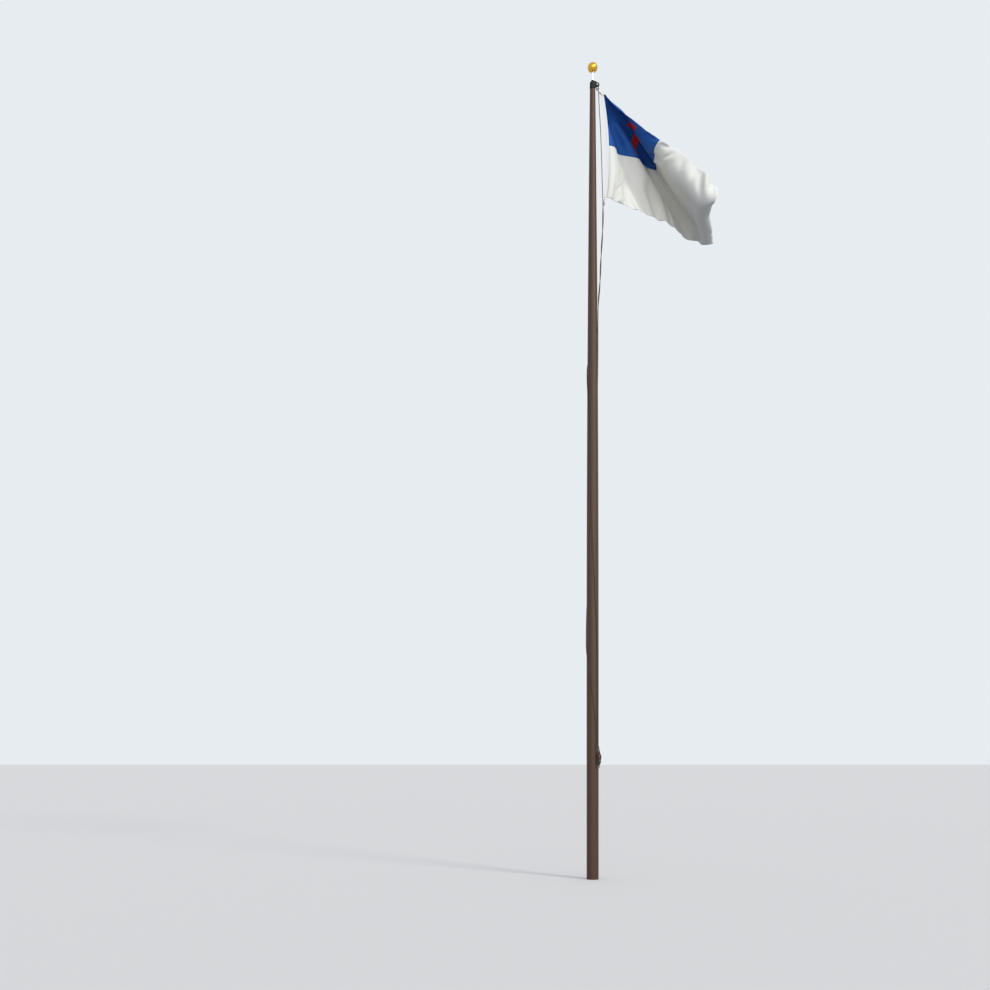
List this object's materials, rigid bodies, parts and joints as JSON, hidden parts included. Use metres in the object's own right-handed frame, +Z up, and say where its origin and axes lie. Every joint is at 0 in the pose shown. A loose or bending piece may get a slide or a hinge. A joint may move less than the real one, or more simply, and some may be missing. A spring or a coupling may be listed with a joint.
{
  "type": "flagpole",
  "caption": "Ground-set tapered aluminium flagpole with a gold ball, a revolving truck, an outside halyard on a cleat, and a flag with a blue canton on snap hooks.",
  "frame": {"origin": "middle of the shaft's foot at ground level", "axes": "+Z up along the shaft, +X towards the side where the flag flies, +Y away from the picture's viewer"},
  "size_m": [1.5837, 1.049, 9.4526],
  "materials": {
    "bronze_aluminium": "dark bronze anodised, satin",
    "dark_casting": "cast, dark bronze coating",
    "bright_aluminium": "turned, bright",
    "gold_aluminium": "gold anodised, polished",
    "steel": "stainless, plain",
    "bearing_plastic": "moulded nylon",
    "bushing_bronze": "plain bearing bronze",
    "sheave_plastic": "moulded nylon, black",
    "halyard": "solid-braided bronze rope",
    "snap_metal": "nickel-plated",
    "white_vinyl": "soft vinyl cover",
    "grommet_brass": "pressed brass",
    "header_canvas": "heavy canvas",
    "blue_nylon": "woven nylon with a red cross sewn on",
    "white_nylon": "woven nylon"
  },
  "bodies": {
    "pole": {"pole_shaft": "bronze_aluminium", "truck_plug": "dark_casting", "truck_spindle": "steel", "thrust_washer": "bearing_plastic", "set_screw_1": "steel", "set_screw_2": "steel", "set_screw_3": "steel", "ball_stem": "bright_aluminium", "ball_lower_half": "gold_aluminium", "ball_upper_half": "gold_aluminium", "cleat": "bronze_aluminium", "cleat_screw_upper": "steel", "cleat_screw_lower": "steel", "halyard_wrap_a": "halyard", "halyard_wrap_b": "halyard", "halyard_cleat_turns": "halyard"},
    "truck": {"truck_head": "dark_casting", "truck_bushing": "bushing_bronze", "sheave_pin": "steel", "sheave_pin_nut": "steel", "halyard_down_leg": "halyard", "halyard_pair_a": "halyard", "halyard_pair_b": "halyard", "upper_snap_eye": "snap_metal", "upper_snap_hook": "snap_metal", "upper_snap_cover": "white_vinyl", "upper_grommet": "grommet_brass", "lower_snap_eye": "snap_metal", "lower_snap_hook": "snap_metal", "lower_snap_cover": "white_vinyl", "lower_grommet": "grommet_brass", "flag_header": "header_canvas", "flag_canton": "blue_nylon", "flag_fly_panel": "white_nylon", "flag_lower_panel": "white_nylon"},
    "sheave": {"sheave": "sheave_plastic", "sheave_bushing": "bushing_bronze"}
  },
  "joints": [
    {"name": "truck_spin", "type": "hinge", "parent": "pole", "child": "truck", "pos_m": [0, 0, 9.2], "axis": [0, 0, 1], "continuous": true},
    {"name": "sheave_spin", "type": "hinge", "parent": "truck", "child": "sheave", "pos_m": [0.054, 0, 9.1973], "axis": [0, 1, 0], "continuous": true}
  ]
}
